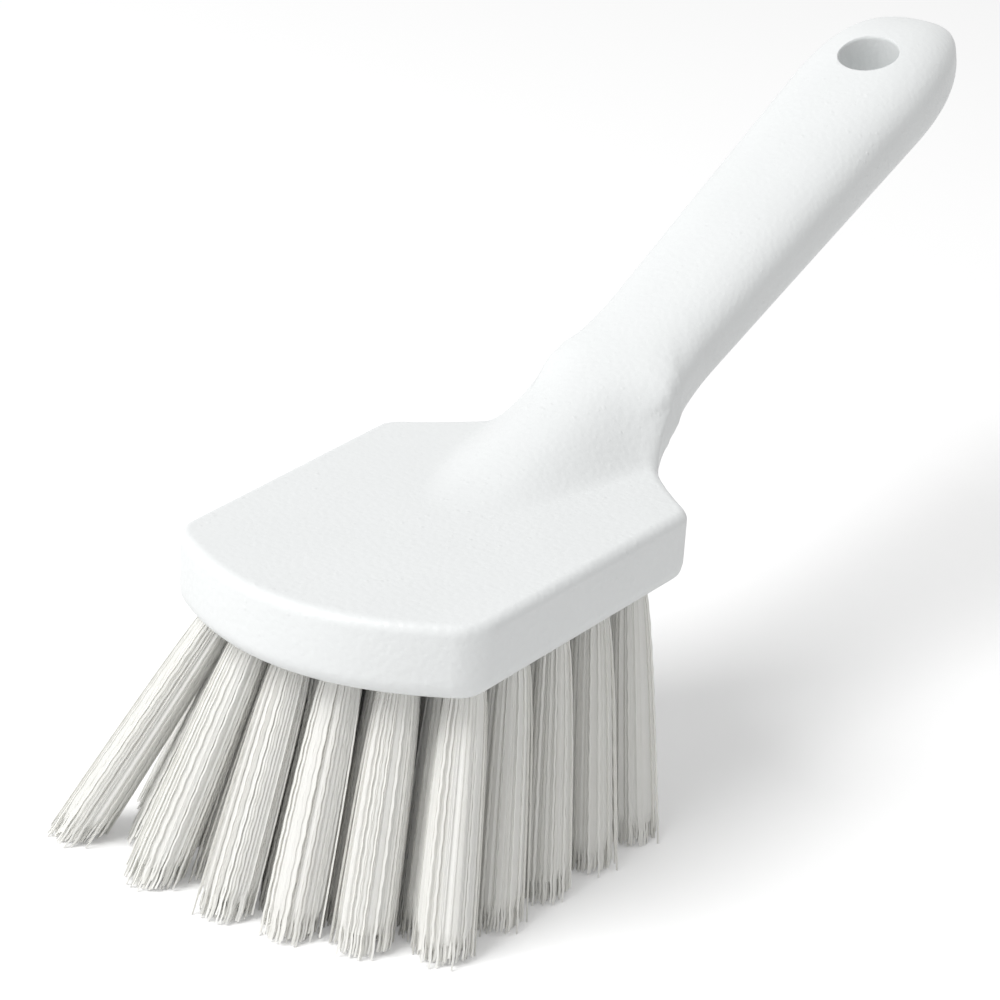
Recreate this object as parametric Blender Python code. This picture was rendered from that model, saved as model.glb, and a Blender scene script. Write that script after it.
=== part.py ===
"""Short-handled utility scrub brush: a moulded block with a raised handle, and rows of splayed tufts.

Metres, +Z up. The brush stands on its trimmed bristle tips, the head's front towards -Y and the handle
towards +Y. The shapes are worked out in the block's frame: X across the head from its middle, Y back from
the head's front corners, Z up from the head's flat top. One shift at the end puts the middle of the whole
brush over the origin.
"""

import math

import bmesh
import bpy
from mathutils import Matrix, Vector

# The head: a flat plate with a bowed front, square shoulders and a hollow curve into the handle
HEAD_WIDTH = 0.0635
SHOULDER_WIDTH = 0.0670
SIDE_LENGTH = 0.0645
FRONT_BOW = 0.0125
HEAD_THICKNESS = 0.0140
TOP_FILLET = 0.0020
BOTTOM_FILLET = 0.0028
FRONT_CORNER_RADIUS = 0.0028
SHOULDER_SOFTNESS = 0.0030
NECK_LENGTH = 0.0290
NECK_HOLLOW_POWER = 1.7

# The handle: an oval bar that leaves the head's top as a ridge and widens towards its rounded end
HANDLE_RISE = math.radians(21.5)
HANDLE_START = 0.0724
HANDLE_AXIS_DEPTH = 0.0015
HANDLE_LENGTH = 0.1550
NECK_WIDTH = 0.0222
GRIP_WIDTH = 0.0330
NECK_THICKNESS = 0.0152
GRIP_THICKNESS = 0.0202
OVAL_POWER = 2.5
FLANK_SHARE = 0.10
OUTSIDE_SLOPE = 2
END_ROUNDING = 0.0350
END_PLAN_POWER = 2.2
END_SIDE_POWER = 6
END_THINNING_SHARE = 0.59
RIDGE_BLEND = 0.0100
NECK_BLEND = 0.0075
UNDERSIDE_RAMP = 0.0080
UNDERSIDE_BLEND = 0.0060
WING_LIFT = 1.35
NECK_REACH = 1.45

# The hanging hole, square to the handle's top, and how far past a surface every cutter runs
HANG_HOLE_DIAMETER = 0.0126
HANG_HOLE_FROM_END = 0.0260
HANG_HOLE_SIDES = 24
CUT_OVERRUN = 0.0030

# The fill: tufts in rows that follow the bow, every second row one tuft shorter and half a pitch aside
TUFT_ROWS = 9
TUFT_COLUMNS = 6
FILL_SHARE = 0.772
FRONT_ROW_INSET = 0.0123
ROW_PITCH = 0.0065
HOLE_SHARE = 0.53
HOLE_DEPTH = 0.0090
TUFT_CLEARANCE = 0.0003
TUFT_PROUD = 0.0006
TRIM_LENGTH = 0.0460

# The strands of one tuft: their gaps at the root, how far they fan out, and how much thicker they end
STRANDS_PER_TUFT = 8
STRAND_GAP = 0.0003
OUTER_FAN = 1.8
INNER_FAN = 1.2
STRAND_SWELL = 1.1

# How far the tips stand from below their holes: outwards, forwards, and more so near the pressed front corner
SIDE_SPLAY_SHARE = 0.32
REAR_SPLAY_SHARE = 0.08
LENGTH_SPLAY_SHARE = 0.05
SIDE_SWEEP = 0.0005
FORWARD_SWEEP = 0.0095
CORNER_SIDE_SWEEP = 0.0130
CORNER_FORWARD_SWEEP = 0.0080

# The rings of the block, as turns or shares of the stretch that they divide, and the points of one ring
FRONT_ANGLES = tuple(math.radians(angle) for angle in (0, 20, 36, 52, 70, 90))
HEAD_RING_SHARES = (0.20, 0.33, 0.48, 0.60, 0.70, 0.78, 0.85, 0.91, 0.96, 1)
NECK_FRONT_SHARES = (0.04, 0.1, 0.17, 0.25, 0.34, 0.43, 0.52)
NECK_BACK_SHARES = (0.62, 0.72, 0.83, 0.94, 1.05, 1.17, 1.3, NECK_REACH)
HANDLE_RING_SHARES = (0.29, 0.35, 0.42, 0.50, 0.59, 0.68)
END_ANGLES = tuple(math.radians(angle) for angle in (0, 18, 34, 48, 60, 70, 78, 85))
FLAT_SHARES = (0, 0.11, 0.22, 0.32, 0.42, 0.52, 0.64, 0.76, 0.88, 1)
EDGE_ANGLES = tuple(math.radians(angle) for angle in (25, 50, 70, 90))
SLOPE_STEP_SHARE = 0.001
SMOOTH_ANGLE = math.radians(40)


def smooth_max(first, second, reach):
    """The larger of two heights, with the crease where they cross rounded over this reach."""
    overlap = max(reach - abs(first - second), 0) / reach
    return max(first, second) + overlap**2 * reach / 4


def smooth_min(first, second, reach):
    return -smooth_max(-first, -second, reach)


def soft_ramp(distance, run):
    """Zero before the start, then a rise that reaches a slope of one after this run."""
    if distance <= 0:
        return 0
    if distance < run:
        return distance**2 / (2 * run)
    return distance - run / 2


def fillet_drop(depth, radius):
    """How far a rounded edge has fallen at this depth inside the outline."""
    if depth >= radius:
        return 0
    return radius - math.sqrt(max(radius**2 - (radius - max(depth, 0)) ** 2, 0))


def plate_half_width(y):
    """Half the head's width in plan: a slightly widening side, then the hollow curve into the neck."""
    side = (HEAD_WIDTH + (SHOULDER_WIDTH - HEAD_WIDTH) * y / SIDE_LENGTH) / 2
    left = 1 - (y - SIDE_LENGTH) / NECK_LENGTH
    neck = NECK_WIDTH / 2 * (1 + WING_LIFT * min(left, 0))
    hollow = (SHOULDER_WIDTH - NECK_WIDTH) / 2 * max(left, 0) ** NECK_HOLLOW_POWER
    return smooth_min(side, neck + hollow, SHOULDER_SOFTNESS)


def side_lean(y):
    """How much longer the head's side is than the stretch of Y that it crosses."""
    step = SIDE_LENGTH * SLOPE_STEP_SHARE
    return math.hypot(1, (plate_half_width(y + step) - plate_half_width(y)) / step)


def bow(x):
    """How far the head's front stands ahead of its corners."""
    return FRONT_BOW * (1 - (2 * x / HEAD_WIDTH) ** 2)


def axis_height(y):
    return (y - HANDLE_START) * math.tan(HANDLE_RISE) - HANDLE_AXIS_DEPTH


def handle_half_sizes(y):
    """Half the handle's width and thickness where its axis stands at this y."""
    share = min(max((y - HANDLE_START) / (HANDLE_LENGTH * math.cos(HANDLE_RISE)), 0), 1)
    width = NECK_WIDTH + (GRIP_WIDTH - NECK_WIDTH) * share
    thickness = NECK_THICKNESS + (GRIP_THICKNESS - NECK_THICKNESS) * share
    return width / 2, thickness / 2


def oval_height(x, half_width, half_height):
    """The handle's half height at this distance from its middle, with a narrow upright flank."""
    flank = FLANK_SHARE * half_height
    inside = max(1 - abs(x / half_width) ** OVAL_POWER, 0)
    outside = max(abs(x) - half_width, 0)
    return flank + (half_height - flank) * inside ** (1 / OVAL_POWER) - OUTSIDE_SLOPE * outside


def section_places(half_width, edge):
    """Distances from the middle, left to right, dense where the edge turns down."""
    right = [(half_width - edge) * share for share in FLAT_SHARES]
    right += [half_width - edge + edge * math.sin(angle) for angle in EDGE_ANGLES]
    return [-x for x in reversed(right[1:])] + right


def head_section(y):
    """One ring of the head and neck: along the top from left to right, and back along the underside."""
    plate = plate_half_width(y)
    lean = side_lean(y)
    half_width, half_thickness = handle_half_sizes(y)
    swell = max(NECK_BLEND - abs(plate - half_width), 0) ** 2 / (4 * NECK_BLEND)
    plate += swell
    half_width += swell
    corner = max(FRONT_CORNER_RADIUS - y, 0)
    end = plate - FRONT_CORNER_RADIUS + math.sqrt(FRONT_CORNER_RADIUS**2 - corner**2)
    end = max(end, half_width)
    into_neck = max((y - SIDE_LENGTH) / NECK_LENGTH, 0)
    neck = min(into_neck, 1)
    fade = min(into_neck, (NECK_REACH - into_neck) / (NECK_REACH - 1))
    blend = max(UNDERSIDE_BLEND * fade, BOTTOM_FILLET)
    rise = math.tan(HANDLE_RISE) * soft_ramp(y - SIDE_LENGTH, UNDERSIDE_RAMP)
    floor = rise - HEAD_THICKNESS + fillet_drop(y, BOTTOM_FILLET)
    bowed = (1 - min(2 * y / SIDE_LENGTH, 1) ** 2) ** 2
    top, under = [], []
    for fillet, side in ((TOP_FILLET, top), (BOTTOM_FILLET, under)):
        edge = fillet * lean * (1 - neck) + half_width / 2 * neck
        for x in section_places(end, edge):
            inside = (plate - abs(x)) / lean
            if corner > 0 and inside < FRONT_CORNER_RADIUS:
                inside = FRONT_CORNER_RADIUS - math.hypot(FRONT_CORNER_RADIUS - inside, corner)
            drop = fillet_drop(min(inside, y), fillet) + OUTSIDE_SLOPE * max(abs(x) - plate, 0)
            oval = oval_height(x, half_width, half_thickness / math.cos(HANDLE_RISE))
            if side is top:
                z = smooth_max(-drop, axis_height(y) + oval, RIDGE_BLEND)
            else:
                wing = WING_LIFT * rise - HEAD_THICKNESS + drop
                bar = max(axis_height(y) - oval, floor)
                z = max(smooth_min(wing, bar, blend), floor)
            side.append(Vector((x, y - bowed * bow(x), z)))
    return top + under[::-1]


def handle_frame(distance, tilt):
    """A point of the handle's axis, and the up direction of a section that leans back by this tilt."""
    along = Vector((0, math.cos(HANDLE_RISE), math.sin(HANDLE_RISE)))
    centre = Vector((0, HANDLE_START, -HANDLE_AXIS_DEPTH)) + along * distance
    return centre, Vector((0, -math.sin(tilt), math.cos(tilt)))


def handle_section(distance):
    """One ring of the handle at this distance along its axis, turned square to it over one neck's length."""
    neck_end = SIDE_LENGTH + NECK_LENGTH * NECK_REACH
    past_neck = distance - (neck_end - HANDLE_START) / math.cos(HANDLE_RISE)
    tilt = HANDLE_RISE * min(max(past_neck / NECK_LENGTH, 0), 1)
    centre, up = handle_frame(distance, tilt)
    half_width, full_height = handle_half_sizes(centre.y)
    full_height /= math.cos(HANDLE_RISE - tilt)
    into_end = max((distance - HANDLE_LENGTH + END_ROUNDING) / END_ROUNDING, 0)
    half_width *= (1 - into_end**END_PLAN_POWER) ** (1 / END_PLAN_POWER)
    thinning = math.sqrt(1 - into_end**END_SIDE_POWER) * (1 - END_THINNING_SHARE * into_end**3)
    half_height = full_height * thinning
    ring = []
    for side in (1, -1):
        half = []
        for x in section_places(half_width, half_width / 2):
            height = side * oval_height(x, half_width, half_height)
            half.append(centre + Vector((x, 0, 0)) + up * height)
        ring += half if side > 0 else half[::-1]
    return ring


def block_rings():
    """The rings of the whole moulding, from the front face to the handle's end."""
    rings = [head_section(FRONT_CORNER_RADIUS * (1 - math.cos(angle))) for angle in FRONT_ANGLES]
    rings += [head_section(SIDE_LENGTH * share) for share in HEAD_RING_SHARES]
    neck_shares = NECK_FRONT_SHARES + NECK_BACK_SHARES
    rings += [head_section(SIDE_LENGTH + NECK_LENGTH * share) for share in neck_shares]
    rings += [handle_section(HANDLE_LENGTH * share) for share in HANDLE_RING_SHARES]
    rings += [handle_section(HANDLE_LENGTH - END_ROUNDING * (1 - math.sin(angle))) for angle in END_ANGLES]
    return rings


def add_object(name, bm, collection):
    mesh = bpy.data.meshes.new(name)
    bm.to_mesh(mesh)
    bm.free()
    obj = bpy.data.objects.new(name, mesh)
    collection.objects.link(obj)
    return obj


def loft(name, rings, collection):
    """Skins the rings and closes both ends with strips between the upper and the lower half of the ring."""
    bm = bmesh.new()
    loops = [[bm.verts.new(point) for point in ring] for ring in rings]
    for front, back in zip(loops, loops[1:]):
        for i in range(len(front)):
            bm.faces.new((front[i - 1], front[i], back[i], back[i - 1]))
    for ring in (loops[0], loops[-1]):
        for i in range(len(ring) // 2 - 1):
            bm.faces.new((ring[-1 - i], ring[-2 - i], ring[i + 1], ring[i]))
    bmesh.ops.recalc_face_normals(bm, faces=bm.faces)
    return add_object(name, bm, collection)


def tuft_pitch():
    """The distance between the tufts of one row, which fill the same share of any head's width."""
    return HEAD_WIDTH * FILL_SHARE / (TUFT_COLUMNS - 1)


def tuft_places():
    """Yields a name, the middle of the hole's mouth, and the middle of the trimmed tip, for every tuft."""
    outer_column = tuft_pitch() * (TUFT_COLUMNS - 1) / 2
    middle_row = (TUFT_ROWS - 1) / 2
    for row in range(TUFT_ROWS):
        count = TUFT_COLUMNS - row % 2
        for place in range(count):
            x = tuft_pitch() * (place - (count - 1) / 2)
            y = FRONT_ROW_INSET - bow(x) + ROW_PITCH * row
            rearwards = row / middle_row - 1
            in_front = max(-rearwards, 0)
            splay = SIDE_SPLAY_SHARE + REAR_SPLAY_SHARE * rearwards
            left = max(-x / outer_column, 0)
            tip_x = x * (1 + splay) - SIDE_SWEEP - CORNER_SIDE_SWEEP * left**2 * in_front
            sweep = FORWARD_SWEEP + CORNER_FORWARD_SWEEP * (1 - x / outer_column) / 2 * in_front
            tip_y = y - sweep + LENGTH_SPLAY_SHARE * ROW_PITCH * (row - middle_row)
            mouth = Vector((x, y, -HEAD_THICKNESS))
            tip = Vector((tip_x, tip_y, -HEAD_THICKNESS - TRIM_LENGTH))
            yield f"tuft_row{row + 1}_{place + 1}", mouth, tip


def facing(direction):
    """The turn that points +Z this way, with no twist."""
    flip = Matrix.Rotation(math.pi if direction.z < 0 else 0, 4, "X")
    return (flip @ Vector((0, 0, 1))).rotation_difference(direction).to_matrix().to_4x4() @ flip


def add_tuft(name, mouth, reach, collection):
    """A plug that fills the drilled hole, and strands that fan out from its face to a level trim.

    The object's origin is the middle of the hole's mouth, and reach runs from there to the tuft's tip.
    """
    length = HOLE_DEPTH - TUFT_CLEARANCE + TUFT_PROUD
    radius = HOLE_SHARE * tuft_pitch() / 2 - TUFT_CLEARANCE
    bm = bmesh.new()
    bmesh.ops.create_cone(
        bm,
        cap_ends=True,
        segments=STRANDS_PER_TUFT,
        radius1=radius,
        radius2=radius,
        depth=length,
        matrix=Matrix.Translation((0, 0, TUFT_PROUD - length / 2)),
    )
    plug_face = max(bm.faces, key=lambda face: face.calc_center_median().z)
    roots = bmesh.ops.poke(bm, faces=[plug_face])["faces"]
    bmesh.ops.inset_individual(bm, faces=roots, thickness=STRAND_GAP / 2)
    ends = bmesh.ops.extrude_discrete_faces(bm, faces=roots)["faces"]
    for strand, end in enumerate(ends):
        fan_out(end, reach.length, OUTER_FAN if strand % 2 else INNER_FAN)
    tips = {vert for end in ends for vert in end.verts}
    bmesh.ops.transform(bm, matrix=facing(reach), verts=bm.verts)
    for tip in tips:
        tip.co += reach * ((reach.z - tip.co.z) / reach.z)
    bmesh.ops.recalc_face_normals(bm, faces=bm.faces)
    tuft = add_object(name, bm, collection)
    tuft.location = mouth
    return tuft


def fan_out(end, height, fan):
    """Carries a strand's end up to this height and outwards, inside the strand's own sector of the tuft."""
    middle = end.calc_center_median()
    for vert in end.verts:
        vert.co = middle * fan + (vert.co - middle) * STRAND_SWELL
        vert.co.z = height


def add_cutter(name, rods, collection):
    """One object of round rods to cut with, each given by its start, end, diameter and number of sides."""
    bm = bmesh.new()
    for start, end, diameter, sides in rods:
        bmesh.ops.create_cone(
            bm,
            cap_ends=True,
            segments=sides,
            radius1=diameter / 2,
            radius2=diameter / 2,
            depth=(end - start).length,
            matrix=Matrix.Translation((start + end) / 2) @ facing(end - start),
        )
    cutter = add_object(name, bm, collection)
    cutter.hide_render = True
    cutter.display_type = "WIRE"
    return cutter


def cut(obj, cutter):
    boolean = obj.modifiers.new(cutter.name, "BOOLEAN")
    boolean.operation = "DIFFERENCE"
    boolean.solver = "EXACT"
    boolean.object = cutter


def plastic(name, colour, roughness):
    """A material with the colour and the gloss of one plastic."""
    material = bpy.data.materials.new(name)
    material.use_nodes = True
    material.diffuse_color = colour
    shader = material.node_tree.nodes["Principled BSDF"]
    shader.inputs["Base Color"].default_value = colour
    shader.inputs["Roughness"].default_value = roughness
    shader.inputs["Metallic"].default_value = 0
    return material


def new_collection(name):
    collection = bpy.data.collections.new(name)
    bpy.context.scene.collection.children.link(collection)
    return collection


def stand_on_origin(parts, cutters):
    """Shifts everything so that the tips stand at height zero, with the brush's middle over the origin."""
    corners = [obj.location + vert.co for obj in parts for vert in obj.data.vertices]
    low = Vector([min(corner[axis] for corner in corners) for axis in range(3)])
    high = Vector([max(corner[axis] for corner in corners) for axis in range(3)])
    shift = -Vector(((low.x + high.x) / 2, (low.y + high.y) / 2, low.z))
    for obj in parts + cutters:
        obj.location += shift


def main():
    for obj in list(bpy.data.objects):
        bpy.data.objects.remove(obj, do_unlink=True)
    brush = new_collection("utility_brush")
    cutters = new_collection("cutters")
    foamed_polypropylene = plastic("foamed_polypropylene", (0.86, 0.87, 0.88, 1), 0.42)
    crimped_filament = plastic("crimped_filament", (0.80, 0.81, 0.79, 1), 0.35)

    block = loft("block", block_rings(), brush)
    block.data.materials.append(foamed_polypropylene)
    block.data.shade_smooth()
    block.data.set_sharp_from_angle(angle=SMOOTH_ANGLE)

    drills = []
    for name, mouth, tip in tuft_places():
        reach = tip - mouth
        tuft = add_tuft(name, mouth, reach, brush)
        tuft.data.materials.append(crimped_filament)
        outwards = reach.normalized()
        start = mouth - outwards * HOLE_DEPTH
        drills.append((start, mouth + outwards * CUT_OVERRUN, HOLE_SHARE * tuft_pitch(), STRANDS_PER_TUFT))
    cut(block, add_cutter("tuft_drills", drills, cutters))

    hole, up = handle_frame(HANDLE_LENGTH - HANG_HOLE_FROM_END, HANDLE_RISE)
    through = up * (GRIP_THICKNESS / 2 + CUT_OVERRUN)
    drill = (hole - through, hole + through, HANG_HOLE_DIAMETER, HANG_HOLE_SIDES)
    cut(block, add_cutter("hang_hole_drill", [drill], cutters))
    stand_on_origin(list(brush.objects), list(cutters.objects))


main()
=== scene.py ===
"""A white utility scrub brush with a raised handle and splayed crimped bristles, on its trimmed tips."""

import math
import random

import bmesh
import bpy
from mathutils import Matrix, Vector


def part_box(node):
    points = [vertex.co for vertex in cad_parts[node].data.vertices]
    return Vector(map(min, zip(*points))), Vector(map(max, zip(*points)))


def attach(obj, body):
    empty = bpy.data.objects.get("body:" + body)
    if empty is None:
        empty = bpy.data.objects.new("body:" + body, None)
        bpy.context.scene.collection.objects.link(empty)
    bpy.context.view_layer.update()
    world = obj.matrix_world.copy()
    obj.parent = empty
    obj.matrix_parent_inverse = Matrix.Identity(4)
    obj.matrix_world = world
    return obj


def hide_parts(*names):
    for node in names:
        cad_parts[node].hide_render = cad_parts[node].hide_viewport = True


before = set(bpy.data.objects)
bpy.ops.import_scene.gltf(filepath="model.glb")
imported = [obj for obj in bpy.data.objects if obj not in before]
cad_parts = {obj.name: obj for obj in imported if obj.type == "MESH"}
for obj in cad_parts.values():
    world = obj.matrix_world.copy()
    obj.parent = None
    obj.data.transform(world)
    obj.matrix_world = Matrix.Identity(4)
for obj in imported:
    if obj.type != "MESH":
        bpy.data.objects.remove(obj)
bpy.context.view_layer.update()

# The block: head, neck and handle are one injection moulding of white foamed polypropylene. The head is a
# flat plate with a bowed front, and the handle leaves its top as a ridge that grows into an oval bar. The
# hanging hole runs through the bar near its end, and every tuft sits in its own hole in the head's underside.
HEAD_WIDTH = 0.0635
SHOULDER_WIDTH = 0.0670
SIDE_LENGTH = 0.0645
FRONT_BOW = 0.0125
HEAD_THICKNESS = 0.0140
TOP_FILLET = 0.0020
BOTTOM_FILLET = 0.0040
FRONT_CORNER_RADIUS = 0.0040
SHOULDER_SOFTNESS = 0.0030
NECK_LENGTH = 0.0290
NECK_HOLLOW_POWER = 1.7
HANDLE_RISE = math.radians(21.5)
HANDLE_START = 0.0724
HANDLE_AXIS_DEPTH = 0.0015
HANDLE_LENGTH = 0.1550
NECK_WIDTH = 0.0222
GRIP_WIDTH = 0.0330
NECK_THICKNESS = 0.0152
GRIP_THICKNESS = 0.0202
OVAL_POWER = 2.5
FLANK_SHARE = 0.10
OUTSIDE_SLOPE = 2
END_ROUNDING = 0.0350
END_PLAN_POWER = 2.2
END_SIDE_POWER = 6
END_THINNING_SHARE = 0.59
END_THINNING_POWER = 3
RIDGE_BLEND = 0.0200
RIDGE_POWER = 2.4
RIDGE_FLANK_REACH = 0.0140
NECK_BLEND = 0.0100
UNDERSIDE_RAMP = 0.0080
UNDERSIDE_BLEND = 0.0060
WING_LIFT = 1.35
NECK_REACH = 1.45
TRIM_LENGTH = 0.0460
MERGE_DISTANCE = 1e-7
FRONT_STEPS = 12
SIDE_STEPS = 36
NECK_STEPS = 90
NECK_STEP_POWER = 1.4
HANDLE_STEPS = 24
END_STEPS = 24
FLAT_STEPS = 88
EDGE_STEPS = 12


def smooth_max(first, second, reach):
    """The larger of two heights, with the crease where they cross rounded over this reach."""
    overlap = max(reach - abs(first - second), 0) / reach
    return max(first, second) + overlap**2 * reach / 4


def smooth_min(first, second, reach):
    """The smaller of two lengths, rounded in the same way."""
    return -smooth_max(-first, -second, reach)


def eased(share):
    """A share held between zero and one that leaves the one and reaches the other gently."""
    share = min(max(share, 0), 1)
    return share**2 * (3 - 2 * share)


def soft_ramp(distance, run):
    """Zero before the start, then a rise that reaches a slope of one after this run."""
    if distance <= 0:
        return 0
    if distance < run:
        return distance**2 / (2 * run)
    return distance - run / 2


def fillet_drop(depth, radius):
    """How far a rounded edge has fallen at this depth inside the outline."""
    if depth >= radius:
        return 0
    return radius - math.sqrt(max(radius**2 - (radius - max(depth, 0)) ** 2, 0))


def plate_half_width(y):
    """Half the head's width in plan: a slightly widening side, then the hollow curve into the neck."""
    side = (HEAD_WIDTH + (SHOULDER_WIDTH - HEAD_WIDTH) * y / SIDE_LENGTH) / 2
    left = 1 - (y - SIDE_LENGTH) / NECK_LENGTH
    neck = NECK_WIDTH / 2 * (1 + WING_LIFT * min(left, 0))
    hollow = (SHOULDER_WIDTH - NECK_WIDTH) / 2 * max(left, 0) ** NECK_HOLLOW_POWER
    return smooth_min(side, neck + hollow, SHOULDER_SOFTNESS)


def side_lean(y):
    """How much longer the head's side is than the stretch of Y that it crosses."""
    step = SIDE_LENGTH / 1000
    return math.hypot(1, (plate_half_width(y + step) - plate_half_width(y)) / step)


def bow(x):
    """How far the head's front stands ahead of its corners."""
    return FRONT_BOW * (1 - (2 * x / HEAD_WIDTH) ** 2)


def axis_height(y):
    """The height of the handle's axis over the head's flat top."""
    return (y - HANDLE_START) * math.tan(HANDLE_RISE) - HANDLE_AXIS_DEPTH


def handle_half_sizes(y):
    """Half the handle's width and thickness where its axis stands at this y."""
    share = min(max((y - HANDLE_START) / (HANDLE_LENGTH * math.cos(HANDLE_RISE)), 0), 1)
    width = NECK_WIDTH + (GRIP_WIDTH - NECK_WIDTH) * share
    thickness = NECK_THICKNESS + (GRIP_THICKNESS - NECK_THICKNESS) * share
    return width / 2, thickness / 2


def oval_height(x, half_width, half_height):
    """The handle's half height at this distance from its middle, with a narrow upright flank."""
    flank = FLANK_SHARE * half_height
    inside = max(1 - abs(x / half_width) ** OVAL_POWER, 0)
    outside = max(abs(x) - half_width, 0)
    return flank + (half_height - flank) * inside ** (1 / OVAL_POWER) - OUTSIDE_SLOPE * outside


def section_places(half_width, edge):
    """Distances from the middle, left to right, dense where the edge turns down."""
    flat = half_width - edge
    turns = [math.pi / 2 * step / EDGE_STEPS for step in range(1, EDGE_STEPS + 1)]
    right = [flat * step / FLAT_STEPS for step in range(FLAT_STEPS + 1)]
    right += [flat + edge * math.sin(turn) for turn in turns]
    return [-x for x in reversed(right[1:])] + right


def head_section(y):
    """One ring of the head and neck: along the top from left to right, and back along the underside."""
    plate = plate_half_width(y)
    lean = side_lean(y)
    half_width, half_thickness = handle_half_sizes(y)
    half_height = half_thickness / math.cos(HANDLE_RISE)
    neck_end = SIDE_LENGTH + NECK_LENGTH
    ridge_blend = RIDGE_BLEND * eased((y + FRONT_BOW) / (neck_end + FRONT_BOW))
    softened = eased((neck_end - y) / RIDGE_FLANK_REACH)
    swell = max(NECK_BLEND - abs(plate - half_width), 0) ** 2 / (4 * NECK_BLEND)
    plate += swell
    half_width += swell
    corner = max(FRONT_CORNER_RADIUS - y, 0)
    end = plate - FRONT_CORNER_RADIUS + math.sqrt(FRONT_CORNER_RADIUS**2 - corner**2)
    end = max(end, half_width)
    into_neck = max((y - SIDE_LENGTH) / NECK_LENGTH, 0)
    neck = min(into_neck, 1)
    fade = min(into_neck, (NECK_REACH - into_neck) / (NECK_REACH - 1))
    blend = max(UNDERSIDE_BLEND * fade, BOTTOM_FILLET)
    rise = math.tan(HANDLE_RISE) * soft_ramp(y - SIDE_LENGTH, UNDERSIDE_RAMP)
    floor_height = rise - HEAD_THICKNESS + fillet_drop(y, BOTTOM_FILLET)
    half_way = min(2 * y / SIDE_LENGTH, 1)
    bowed = (1 - half_way**2) ** 2
    top, under = [], []
    for fillet, side in ((TOP_FILLET, top), (BOTTOM_FILLET, under)):
        edge = fillet * lean * (1 - neck) + half_width / 2 * neck
        for x in section_places(end, edge):
            inside = (plate - abs(x)) / lean
            if corner > 0 and inside < FRONT_CORNER_RADIUS:
                inside = FRONT_CORNER_RADIUS - math.hypot(FRONT_CORNER_RADIUS - inside, corner)
            drop = fillet_drop(min(inside, y), fillet) + OUTSIDE_SLOPE * max(abs(x) - plate, 0)
            oval = oval_height(x, half_width, half_height)
            if side is top:
                soft_flank = half_height * (1 - abs(x / half_width) ** RIDGE_POWER)
                ridge = oval + (soft_flank - oval) * softened
                z = smooth_max(-drop, axis_height(y) + ridge, ridge_blend)
            else:
                wing = WING_LIFT * rise - HEAD_THICKNESS + drop
                bar = max(axis_height(y) - oval, floor_height)
                z = max(smooth_min(wing, bar, blend), floor_height)
            side.append(Vector((x, y - bowed * bow(x), z)))
    return top + under[::-1]


def handle_frame(distance, tilt):
    """A point of the handle's axis, and the up direction of a section that leans back by this tilt."""
    along = Vector((0, math.cos(HANDLE_RISE), math.sin(HANDLE_RISE)))
    centre = Vector((0, HANDLE_START, -HANDLE_AXIS_DEPTH)) + along * distance
    return centre, Vector((0, -math.sin(tilt), math.cos(tilt)))


def handle_section(distance):
    """One ring of the handle at this distance along its axis, turned square to it past the neck."""
    neck_end = SIDE_LENGTH + NECK_LENGTH * NECK_REACH
    past_neck = distance - (neck_end - HANDLE_START) / math.cos(HANDLE_RISE)
    tilt = HANDLE_RISE * min(max(past_neck / NECK_LENGTH, 0), 1)
    centre, up = handle_frame(distance, tilt)
    half_width, full_height = handle_half_sizes(centre.y)
    full_height /= math.cos(HANDLE_RISE - tilt)
    into_end = max((distance - HANDLE_LENGTH + END_ROUNDING) / END_ROUNDING, 0)
    half_width *= (1 - into_end**END_PLAN_POWER) ** (1 / END_PLAN_POWER)
    rounding = math.sqrt(1 - into_end**END_SIDE_POWER)
    half_height = full_height * rounding * (1 - END_THINNING_SHARE * into_end**END_THINNING_POWER)
    ring = []
    for side in (1, -1):
        half = []
        for x in section_places(half_width, half_width / 2):
            height = side * oval_height(x, half_width, half_height)
            half.append(centre + Vector((x, 0, 0)) + up * height)
        ring += half if side > 0 else half[::-1]
    return ring


def block_rings():
    """The rings of the whole moulding, from the front face to the handle's end."""
    front = [math.pi / 2 * step / FRONT_STEPS for step in range(FRONT_STEPS)]
    rings = [head_section(FRONT_CORNER_RADIUS * (1 - math.cos(angle))) for angle in front]
    straight = SIDE_LENGTH - FRONT_CORNER_RADIUS
    rings += [head_section(FRONT_CORNER_RADIUS + straight * step / SIDE_STEPS) for step in range(SIDE_STEPS)]
    reach = NECK_LENGTH * NECK_REACH
    shares = [(step / NECK_STEPS) ** NECK_STEP_POWER for step in range(NECK_STEPS + 1)]
    rings += [head_section(SIDE_LENGTH + reach * share) for share in shares]
    bar_start = (SIDE_LENGTH + reach - HANDLE_START) / math.cos(HANDLE_RISE)
    bar_length = HANDLE_LENGTH - END_ROUNDING - bar_start
    rings += [handle_section(bar_start + bar_length * step / HANDLE_STEPS) for step in range(1, HANDLE_STEPS)]
    end = [math.pi / 2 * step / END_STEPS for step in range(END_STEPS)]
    rings += [handle_section(HANDLE_LENGTH - END_ROUNDING * (1 - math.sin(angle))) for angle in end]
    return rings


def add_piece(name, bm, material):
    """A finished bmesh as an object at the origin, in the scene, with its material."""
    mesh = bpy.data.meshes.new(name)
    bm.to_mesh(mesh)
    bm.free()
    piece = bpy.data.objects.new(name, mesh)
    piece.data.materials.append(material)
    bpy.context.scene.collection.objects.link(piece)
    return piece


def linear(hex_colour):
    """An sRGB hex colour as the linear colour that a shader takes."""
    channels = [int(hex_colour[i : i + 2], 16) / 255 for i in (1, 3, 5)]
    return [c / 12.92 if c <= 0.04045 else ((c + 0.055) / 1.055) ** 2.4 for c in channels] + [1]


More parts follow.
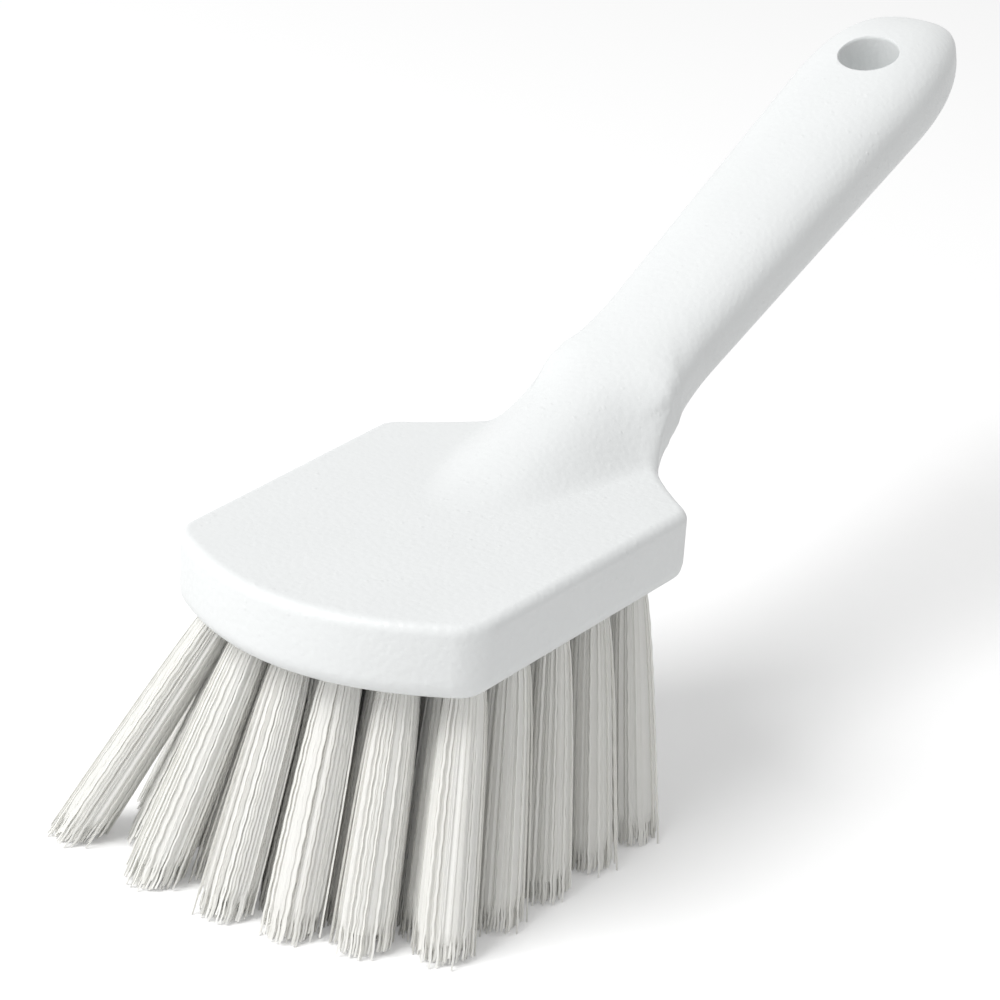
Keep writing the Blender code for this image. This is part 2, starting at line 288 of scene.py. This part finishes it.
def add_node(material, kind, settings=None, **inputs):
    """Adds a shader node, sets its properties, and sets or links its inputs by name."""
    node = material.node_tree.nodes.new(kind)
    for name, value in (settings or {}).items():
        setattr(node, name, value)
    for name, value in inputs.items():
        socket = node.inputs[name.replace("_", " ")]
        if isinstance(value, bpy.types.NodeSocket):
            material.node_tree.links.new(value, socket)
        else:
            socket.default_value = value
    return node


def new_material(name):
    """An empty material, and its output node."""
    material = bpy.data.materials.new(name)
    material.use_nodes = True
    material.node_tree.nodes.clear()
    return material, material.node_tree.nodes.new("ShaderNodeOutputMaterial")


# Foamed polypropylene, injection moulded: an opaque cool white with a satin skin, faintly clouded where the
# melt has flowed. The foam leaves dimples about 1.1 mm apart, and low blisters about 2.2 mm apart that gather
# in patches. The finer grain is drawn at 0.35 mm, as coarse as it needs to show.
MIX_FIRST_COLOUR = 6
MIX_SECOND_COLOUR = 7
MIX_RESULT = 2
CLOUD_SPACING = 0.018
DIMPLE_SPACING = 0.0011
DIMPLE_DEPTH = 0.00012
GRAIN_SPACING = 0.00035
GRAIN_DEPTH = 0.00006
BLISTER_SPACING = 0.0022
BLISTER_HEIGHT = 0.00008
PATCH_SPACING = 0.020
foamed_polypropylene, output = new_material("foamed_polypropylene")
place = add_node(foamed_polypropylene, "ShaderNodeTexCoord").outputs["Object"]
clouds = add_node(foamed_polypropylene, "ShaderNodeTexNoise", Vector=place, Scale=1 / CLOUD_SPACING, Detail=3)
dimples = add_node(
    foamed_polypropylene,
    "ShaderNodeTexVoronoi",
    {"feature": "SMOOTH_F1"},
    Vector=place,
    Scale=1 / DIMPLE_SPACING,
)
grain = add_node(foamed_polypropylene, "ShaderNodeTexNoise", Vector=place, Scale=1 / GRAIN_SPACING, Detail=2)
bubbles = add_node(foamed_polypropylene, "ShaderNodeTexVoronoi", Vector=place, Scale=1 / BLISTER_SPACING)
patches = add_node(
    foamed_polypropylene,
    "ShaderNodeTexNoise",
    Vector=place,
    Scale=1 / PATCH_SPACING,
    Detail=2,
)
colour = add_node(foamed_polypropylene, "ShaderNodeMix", {"data_type": "RGBA"}, Factor=clouds.outputs["Fac"])
colour.inputs[MIX_FIRST_COLOUR].default_value = linear("#E6E8E8")
colour.inputs[MIX_SECOND_COLOUR].default_value = linear("#EBEDED")
gloss = add_node(
    foamed_polypropylene,
    "ShaderNodeMapRange",
    Value=dimples.outputs["Distance"],
    To_Min=0.34,
    To_Max=0.52,
)
dimpled = add_node(
    foamed_polypropylene,
    "ShaderNodeBump",
    Height=dimples.outputs["Distance"],
    Strength=0.7,
    Distance=DIMPLE_DEPTH,
)
grained = add_node(
    foamed_polypropylene,
    "ShaderNodeBump",
    Height=grain.outputs["Fac"],
    Normal=dimpled.outputs["Normal"],
    Strength=0.3,
    Distance=GRAIN_DEPTH,
)
blisters = add_node(
    foamed_polypropylene,
    "ShaderNodeMapRange",
    Value=bubbles.outputs["Distance"],
    From_Max=0.22,
    To_Min=1,
    To_Max=0,
)
gathered = add_node(
    foamed_polypropylene,
    "ShaderNodeMapRange",
    Value=patches.outputs["Fac"],
    From_Min=0.45,
    From_Max=0.6,
)
blistered = add_node(
    foamed_polypropylene,
    "ShaderNodeBump",
    Height=blisters.outputs["Result"],
    Strength=gathered.outputs["Result"],
    Normal=grained.outputs["Normal"],
    Distance=BLISTER_HEIGHT,
)
shader = add_node(
    foamed_polypropylene,
    "ShaderNodeBsdfPrincipled",
    Base_Color=colour.outputs[MIX_RESULT],
    Roughness=gloss.outputs["Result"],
    Normal=blistered.outputs["Normal"],
    IOR=1.49,
)
foamed_polypropylene.node_tree.links.new(shader.outputs["BSDF"], output.inputs["Surface"])

# The moulding's rings are worked out in the block's own frame: X across the head, Y back from its front
# corners, Z up from its flat top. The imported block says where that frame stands. One grid runs through all
# the rings, and each of its open ends is closed by a bridge from the top's edge to the underside's.
low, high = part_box("block")
block_frame = Vector(((low[0] + high[0]) / 2, low[1] + FRONT_BOW, HEAD_THICKNESS + TRIM_LENGTH))
rings = block_rings()
columns = len(rings[0])
bm = bmesh.new()
bmesh.ops.create_grid(bm, x_segments=columns, y_segments=len(rings) - 1, size=1)
bm.verts.ensure_lookup_table()
for row, ring in enumerate(rings):
    for column in range(columns + 1):
        bm.verts[row * (columns + 1) + column].co = ring[column % columns] + block_frame
bmesh.ops.remove_doubles(bm, verts=bm.verts, dist=MERGE_DISTANCE)
for ring in (rings[0], rings[-1]):
    end_y = ring[0].y + block_frame.y
    rim = [edge for edge in bm.edges if edge.is_boundary]
    rim = [edge for edge in rim if abs(edge.verts[0].co.y - end_y) < 2 * FRONT_BOW]
    across = [edge for edge in rim if abs(edge.verts[0].co.x - edge.verts[1].co.x) > MERGE_DISTANCE]
    bmesh.ops.bridge_loops(bm, edges=across)
bmesh.ops.recalc_face_normals(bm, faces=bm.faces)
block = add_piece("brush_block", bm, foamed_polypropylene)

# The tuft holes: 50 blind holes drilled in the head's underside, in rows of 6 and 5 by turns that follow the
# bow of the front. Every hole points at the middle of its tuft's tips. The tufts lean outwards and forwards,
# and most at the front left corner.
TUFT_ROWS = 9
TUFT_COLUMNS = 6
FILL_SHARE = 0.772
FRONT_ROW_INSET = 0.0123
ROW_PITCH = 0.0065
TUFT_PITCH = HEAD_WIDTH * FILL_SHARE / (TUFT_COLUMNS - 1)
HOLE_SHARE = 0.53
HOLE_DIAMETER = TUFT_PITCH * HOLE_SHARE
HOLE_DEPTH = 0.0090
HOLE_SIDES = 20
CUT_OVERRUN = 0.0030
SIDE_SPLAY_SHARE = 0.32
REAR_SPLAY_SHARE = 0.08
LENGTH_SPLAY_SHARE = 0.05
SIDE_SWEEP = 0.0005
FORWARD_SWEEP = 0.0095
CORNER_SIDE_SWEEP = 0.0130
CORNER_FORWARD_SWEEP = 0.0080


def tuft_places():
    """Yields a name, the middle of the hole's mouth, and the middle of the trimmed tip, for every tuft."""
    outer_column = TUFT_PITCH * (TUFT_COLUMNS - 1) / 2
    middle_row = (TUFT_ROWS - 1) / 2
    for row in range(TUFT_ROWS):
        count = TUFT_COLUMNS - row % 2
        for place in range(count):
            x = TUFT_PITCH * (place - (count - 1) / 2)
            y = FRONT_ROW_INSET - bow(x) + ROW_PITCH * row
            rearwards = row / middle_row - 1
            in_front = max(-rearwards, 0)
            splay = SIDE_SPLAY_SHARE + REAR_SPLAY_SHARE * rearwards
            left = max(-x / outer_column, 0)
            tip_x = x * (1 + splay) - SIDE_SWEEP - CORNER_SIDE_SWEEP * left**2 * in_front
            sweep = FORWARD_SWEEP + CORNER_FORWARD_SWEEP * (1 - x / outer_column) / 2 * in_front
            tip_y = y - sweep + LENGTH_SPLAY_SHARE * ROW_PITCH * (row - middle_row)
            mouth = Vector((x, y, -HEAD_THICKNESS)) + block_frame
            tip = Vector((tip_x, tip_y, -HEAD_THICKNESS - TRIM_LENGTH)) + block_frame
            yield f"tuft_row{row + 1}_{place + 1}", mouth, tip


def facing(direction):
    """The turn that points +Z this way, with no twist."""
    flip = Matrix.Rotation(math.pi if direction.z < 0 else 0, 4, "X")
    return (flip @ Vector((0, 0, 1))).rotation_difference(direction).to_matrix().to_4x4() @ flip


def cut(piece, bm):
    """Cuts the shape of a bmesh out of a piece, for good."""
    cutter = add_piece("cutter", bm, foamed_polypropylene)
    boolean = piece.modifiers.new("cut", "BOOLEAN")
    boolean.operation = "DIFFERENCE"
    boolean.solver = "EXACT"
    boolean.object = cutter
    graph = bpy.context.evaluated_depsgraph_get()
    finished = bpy.data.meshes.new_from_object(piece.evaluated_get(graph), depsgraph=graph)
    piece.modifiers.clear()
    piece.data = finished
    bpy.data.objects.remove(cutter, do_unlink=True)


bm = bmesh.new()
for name, mouth, tip in tuft_places():
    outwards = (tip - mouth).normalized()
    middle = mouth + outwards * (CUT_OVERRUN - HOLE_DEPTH) / 2
    bmesh.ops.create_cone(
        bm,
        cap_ends=True,
        segments=HOLE_SIDES,
        radius1=HOLE_DIAMETER / 2,
        radius2=HOLE_DIAMETER / 2,
        depth=HOLE_DEPTH + CUT_OVERRUN,
        matrix=Matrix.Translation(middle) @ facing(outwards),
    )
cut(block, bm)

# The hanging hole is a moulded bore, square to the handle's top, and its rim is rounded on both faces. So its
# cutter is a turned shape that flares out. The oval has already fallen a little where the rim stands.
HANG_HOLE_DIAMETER = 0.0126
HANG_HOLE_FROM_END = 0.0260
HANG_HOLE_ROUNDING = 0.0010
HANG_HOLE_SIDES = 64
ROUNDING_STEPS = 6
RIM_HEIGHT_SHARE = 0.985
CUTTER_MERGE_DISTANCE = 1e-6
SHARP_ANGLE = math.radians(35)
hole, up = handle_frame(HANDLE_LENGTH - HANG_HOLE_FROM_END, HANDLE_RISE)
bore = HANG_HOLE_DIAMETER / 2
surface = handle_half_sizes(hole.y)[1] * RIM_HEIGHT_SHARE
profile = [(0, surface + CUT_OVERRUN), (bore + CUT_OVERRUN, surface + CUT_OVERRUN)]
for step in range(ROUNDING_STEPS + 1):
    angle = math.pi / 2 * step / ROUNDING_STEPS
    flare = HANG_HOLE_ROUNDING * (1 - math.sin(angle))
    profile.append((bore + flare, surface - HANG_HOLE_ROUNDING * (1 - math.cos(angle))))
profile += [(radius, -height) for radius, height in reversed(profile)]
bm = bmesh.new()
points = [bm.verts.new((radius, 0, height)) for radius, height in profile]
edges = [bm.edges.new(pair) for pair in zip(points, points[1:])]
bmesh.ops.spin(
    bm,
    geom=points + edges,
    axis=(0, 0, 1),
    cent=(0, 0, 0),
    angle=math.tau,
    steps=HANG_HOLE_SIDES,
    use_merge=True,
)
bmesh.ops.remove_doubles(bm, verts=bm.verts, dist=CUTTER_MERGE_DISTANCE)
bmesh.ops.recalc_face_normals(bm, faces=bm.faces)
bmesh.ops.transform(bm, matrix=Matrix.Translation(hole + block_frame) @ facing(up), verts=bm.verts)
cut(block, bm)
block.data.shade_smooth()
block.data.set_sharp_from_angle(angle=SHARP_ANGLE)
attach(block, "root")
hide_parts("block")

# Crimped polyester filament, drawn and set in waves: a white, slightly clear plastic with a soft gloss on the
# crests. A faint clouding, about 6 mm across, stands for the filaments' uneven white.
FILAMENT_CLOUD_SPACING = 0.006
GLOW_THROUGH_SHARE = 0.2
crimped_polyester, output = new_material("crimped_polyester_filament")
place = add_node(crimped_polyester, "ShaderNodeTexCoord").outputs["Object"]
clouds = add_node(
    crimped_polyester,
    "ShaderNodeTexNoise",
    Vector=place,
    Scale=1 / FILAMENT_CLOUD_SPACING,
    Detail=2,
)
colour = add_node(crimped_polyester, "ShaderNodeMix", {"data_type": "RGBA"}, Factor=clouds.outputs["Fac"])
colour.inputs[MIX_FIRST_COLOUR].default_value = linear("#FAF9F5")
colour.inputs[MIX_SECOND_COLOUR].default_value = linear("#FEFEFB")
shader = add_node(
    crimped_polyester,
    "ShaderNodeBsdfPrincipled",
    Base_Color=colour.outputs[MIX_RESULT],
    Roughness=0.32,
    IOR=1.57,
)
glow_through = add_node(crimped_polyester, "ShaderNodeBsdfTranslucent", Color=colour.outputs[MIX_RESULT])
clear = add_node(crimped_polyester, "ShaderNodeMixShader", Fac=GLOW_THROUGH_SHARE)
crimped_polyester.node_tree.links.new(shader.outputs["BSDF"], clear.inputs[1])
crimped_polyester.node_tree.links.new(glow_through.outputs["BSDF"], clear.inputs[2])
crimped_polyester.node_tree.links.new(clear.outputs["Shader"], output.inputs["Surface"])

# The tufts: 50 bundles of crimped filament, each folded in two over a flat wire staple that holds the fold at
# the bottom of its hole. The pressed filaments spring apart below the mouth, and run wave by wave to a
# slightly uneven trim.
STRANDS = 200
STRAND_DIAMETER = 0.00042
STRAND_SIDES = 3
CRIMP_PERIOD = 0.0040
CRIMP_HEIGHT = 0.00008
CRIMP_PHASES = 5
CRIMP_PHASE_SPREAD = 0.3
CRIMP_START = 0.010
BUNDLES = 5
ROOT_DEPTH = 0.0080
ROOT_SPREAD = 0.0023
TIP_SPREAD = 0.0050
FLARE_POWER = 0.33
TIP_JITTER = 0.0005
TRIM_JITTER = 0.0010
WAVE_TURN = math.radians(20)
RIM_SHARE_POWER = 0.38
GOLDEN_ANGLE = math.pi * (3 - math.sqrt(5))
CORE_SHARE = 0.965
CORE_SIDES = 96
CORE_STEPS = 30
CORE_STEP_POWER = 1.3
CORE_LENGTH = 0.0440
CORE_ROUNDING = 0.0050
CORE_JITTER = 0.00015


def crimped_strand(phase):
    """One run of filament, from the hole down to the trim, pressed into small waves and closed at its tip."""
    bm = bmesh.new()
    centre = Vector((0, 0, ROOT_DEPTH))
    root = Matrix.Translation(centre)
    bmesh.ops.create_circle(bm, segments=STRAND_SIDES, radius=STRAND_DIAMETER / 2, matrix=root)
    edges = list(bm.edges)
    for step in range(round(2 * TRIM_LENGTH / CRIMP_PERIOD) + 1):
        below = max(step + phase, 0) * CRIMP_PERIOD / 2
        wave = CRIMP_HEIGHT * min(below / CRIMP_START, 1) * (-1) ** step
        target = Vector((wave, 0, -min(below, TRIM_LENGTH)))
        extruded = bmesh.ops.extrude_edge_only(bm, edges=edges)["geom"]
        ring = [part for part in extruded if isinstance(part, bmesh.types.BMVert)]
        edges = [part for part in extruded if isinstance(part, bmesh.types.BMEdge)]
        bmesh.ops.translate(bm, verts=ring, vec=target - centre)
        centre = target
    bmesh.ops.contextual_create(bm, geom=edges)
    bmesh.ops.recalc_face_normals(bm, faces=bm.faces)
    mesh = bpy.data.meshes.new("strand")
    bm.to_mesh(mesh)
    bm.free()
    return mesh


phases = [CRIMP_PHASE_SPREAD * (phase / (CRIMP_PHASES - 1) - 0.5) for phase in range(CRIMP_PHASES)]
strands = [crimped_strand(phase) for phase in phases]
strand_size = len(strands[0].vertices)
luck = random.Random(7)


def pressed_core(bm):
    """The filaments inside a tuft, pressed together, as one fluted body that ends above the trim."""
    flutes = [luck.gauss(0, CORE_JITTER) for side in range(CORE_SIDES)]
    grid = bmesh.ops.create_grid(bm, x_segments=CORE_SIDES, y_segments=CORE_STEPS, size=1)["verts"]
    for i, vert in enumerate(grid):
        row, side = divmod(i, CORE_SIDES + 1)
        depth = CORE_LENGTH * (row / CORE_STEPS) ** CORE_STEP_POWER
        spread = ROOT_SPREAD + (TIP_SPREAD - ROOT_SPREAD) * (depth / TRIM_LENGTH) ** FLARE_POWER
        into_end = max(depth - CORE_LENGTH + CORE_ROUNDING, 0) / CORE_ROUNDING
        spread *= math.sqrt(1 - into_end**2 / 2)
        turn = Matrix.Rotation(math.tau * side / CORE_SIDES, 3, "Z")
        vert.co = turn @ Vector((CORE_SHARE * spread + flutes[side % CORE_SIDES], 0, -depth))
    bmesh.ops.remove_doubles(bm, verts=grid, dist=MERGE_DISTANCE)
    rims = [edge for edge in bm.edges if edge.is_boundary]
    bmesh.ops.holes_fill(bm, edges=rims, sides=CORE_SIDES)
    bmesh.ops.recalc_face_normals(bm, faces=bm.faces)


def fanned_bundle():
    """One upright tuft about the Z axis, with its mouth at height zero and its filaments fanned out below."""
    bm = bmesh.new()
    pressed_core(bm)
    for strand in range(STRANDS):
        angle = strand * GOLDEN_ANGLE
        share = ((strand + 0.5) / STRANDS) ** RIM_SHARE_POWER
        outwards = Vector((math.cos(angle), math.sin(angle), 0))
        flare = (TIP_SPREAD - ROOT_SPREAD) * share + luck.gauss(0, TIP_JITTER)
        short = 1 - abs(luck.gauss(0, TRIM_JITTER)) / TRIM_LENGTH
        facing_out = angle + math.pi / 2 + luck.gauss(0, WAVE_TURN)
        turn = Matrix.Rotation(facing_out, 4, "Z") @ Matrix.Diagonal((1, 1, short, 1))
        bm.from_mesh(luck.choice(strands))
        bm.verts.ensure_lookup_table()
        for vert in bm.verts[-strand_size:]:
            depth = max(-vert.co.z, 0) / TRIM_LENGTH
            vert.co = turn @ vert.co + outwards * (ROOT_SPREAD * share + flare * depth**FLARE_POWER)
    mesh = bpy.data.meshes.new("bundle")
    bm.to_mesh(mesh)
    bm.free()
    return mesh


bundles = [fanned_bundle() for bundle in range(BUNDLES)]
for name, mouth, tip in tuft_places():
    slope = (mouth - tip) / TRIM_LENGTH
    lean = Matrix(((1, 0, slope.x, mouth.x), (0, 1, slope.y, mouth.y), (0, 0, 1, mouth.z), (0, 0, 0, 1)))
    bm = bmesh.new()
    bm.from_mesh(luck.choice(bundles))
    twist = Matrix.Rotation(luck.uniform(0, math.tau), 4, "Z")
    bmesh.ops.transform(bm, matrix=lean @ twist, verts=bm.verts)
    tuft = add_piece("bristles_" + name, bm, crimped_polyester)
    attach(tuft, "root")
    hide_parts(name)

# The floor: a plain white sweep of paper that the brush stands on. It takes the brush's soft shadow, and the
# camera sees the paper itself as white.
FLOOR_SIZE = 6.0
PAPER_LIFT = 0.2


def seen_directly(material):
    """One where the camera, a reflection or clear plastic shows a surface, zero where it lights others."""
    path = add_node(material, "ShaderNodeLightPath").outputs
    seen = path["Is Camera Ray"]
    for kind in ("Is Glossy Ray", "Is Transmission Ray"):
        either = add_node(material, "ShaderNodeMath", {"operation": "MAXIMUM"})
        material.node_tree.links.new(seen, either.inputs[0])
        material.node_tree.links.new(path[kind], either.inputs[1])
        seen = either.outputs["Value"]
    return seen


white_paper, output = new_material("white_paper_sweep")
matt = add_node(white_paper, "ShaderNodeBsdfDiffuse", Color=linear("#F4F4F4"))
lift = add_node(white_paper, "ShaderNodeMapRange", Value=seen_directly(white_paper), To_Max=PAPER_LIFT)
glow = add_node(white_paper, "ShaderNodeEmission", Strength=lift.outputs["Result"])
paper = add_node(white_paper, "ShaderNodeAddShader")
white_paper.node_tree.links.new(matt.outputs["BSDF"], paper.inputs[0])
white_paper.node_tree.links.new(glow.outputs["Emission"], paper.inputs[1])
white_paper.node_tree.links.new(paper.outputs["Shader"], output.inputs["Surface"])
bm = bmesh.new()
bmesh.ops.create_grid(bm, x_segments=1, y_segments=1, size=FLOOR_SIZE / 2)
floor = add_piece("floor", bm, white_paper)

# The light: a large soft box in front, above and to the left, aimed at the brush, in a bright even room that
# the camera sees as white.
SOFT_BOX_WATTS = 36
SOFT_BOX_SIZE = 1.2
SOFT_BOX_PLACE = Vector((-0.60, -1.30, 1.70))
SOFT_BOX_AIM = Vector((0, 0, 0.05))
ROOM_STRENGTH = 0.47
lamp = bpy.data.lights.new("soft_box", "AREA")
lamp.energy = SOFT_BOX_WATTS
lamp.size = SOFT_BOX_SIZE
soft_box = bpy.data.objects.new("soft_box", lamp)
soft_box.location = SOFT_BOX_PLACE
soft_box.rotation_euler = (SOFT_BOX_AIM - SOFT_BOX_PLACE).to_track_quat("-Z", "Y").to_euler()
bpy.context.scene.collection.objects.link(soft_box)
room = bpy.data.worlds.new("room")
room.use_nodes = True
strength = add_node(room, "ShaderNodeMapRange", Value=seen_directly(room), To_Min=ROOM_STRENGTH, To_Max=1)
background = room.node_tree.nodes["Background"]
background.inputs["Color"].default_value = (1, 1, 1, 1)
room.node_tree.links.new(strength.outputs["Result"], background.inputs["Strength"])
bpy.context.scene.world = room

# The camera: above the front right corner, with a long lens half a metre away, and rolled a little as the
# photograph is. Its aim is a point of the block's own frame, and its lens and sensor are in millimetres.
AIM = Vector((0.0029325, 0.0489800, -0.0015023))
AZIMUTH = math.radians(31.73)
ELEVATION = math.radians(23.02)
ROLL = math.radians(3.7)
DISTANCE = 0.5180
LENS = 104.16
SENSOR_WIDTH = 36
NEAREST_SEEN = 0.01
camera_data = bpy.data.cameras.new("camera")
camera_data.lens = LENS
camera_data.sensor_width = SENSOR_WIDTH
camera_data.clip_start = NEAREST_SEEN
camera = bpy.data.objects.new("camera", camera_data)
turn = Matrix.Rotation(AZIMUTH, 4, "Z") @ Matrix.Rotation(math.pi / 2 - ELEVATION, 4, "X")
stand = Matrix.Translation((0, 0, DISTANCE)) @ Matrix.Rotation(ROLL, 4, "Z")
camera.matrix_world = Matrix.Translation(AIM + block_frame) @ turn @ stand
bpy.context.scene.collection.objects.link(camera)
bpy.context.scene.camera = camera

bpy.context.scene.view_settings.view_transform = "Standard"
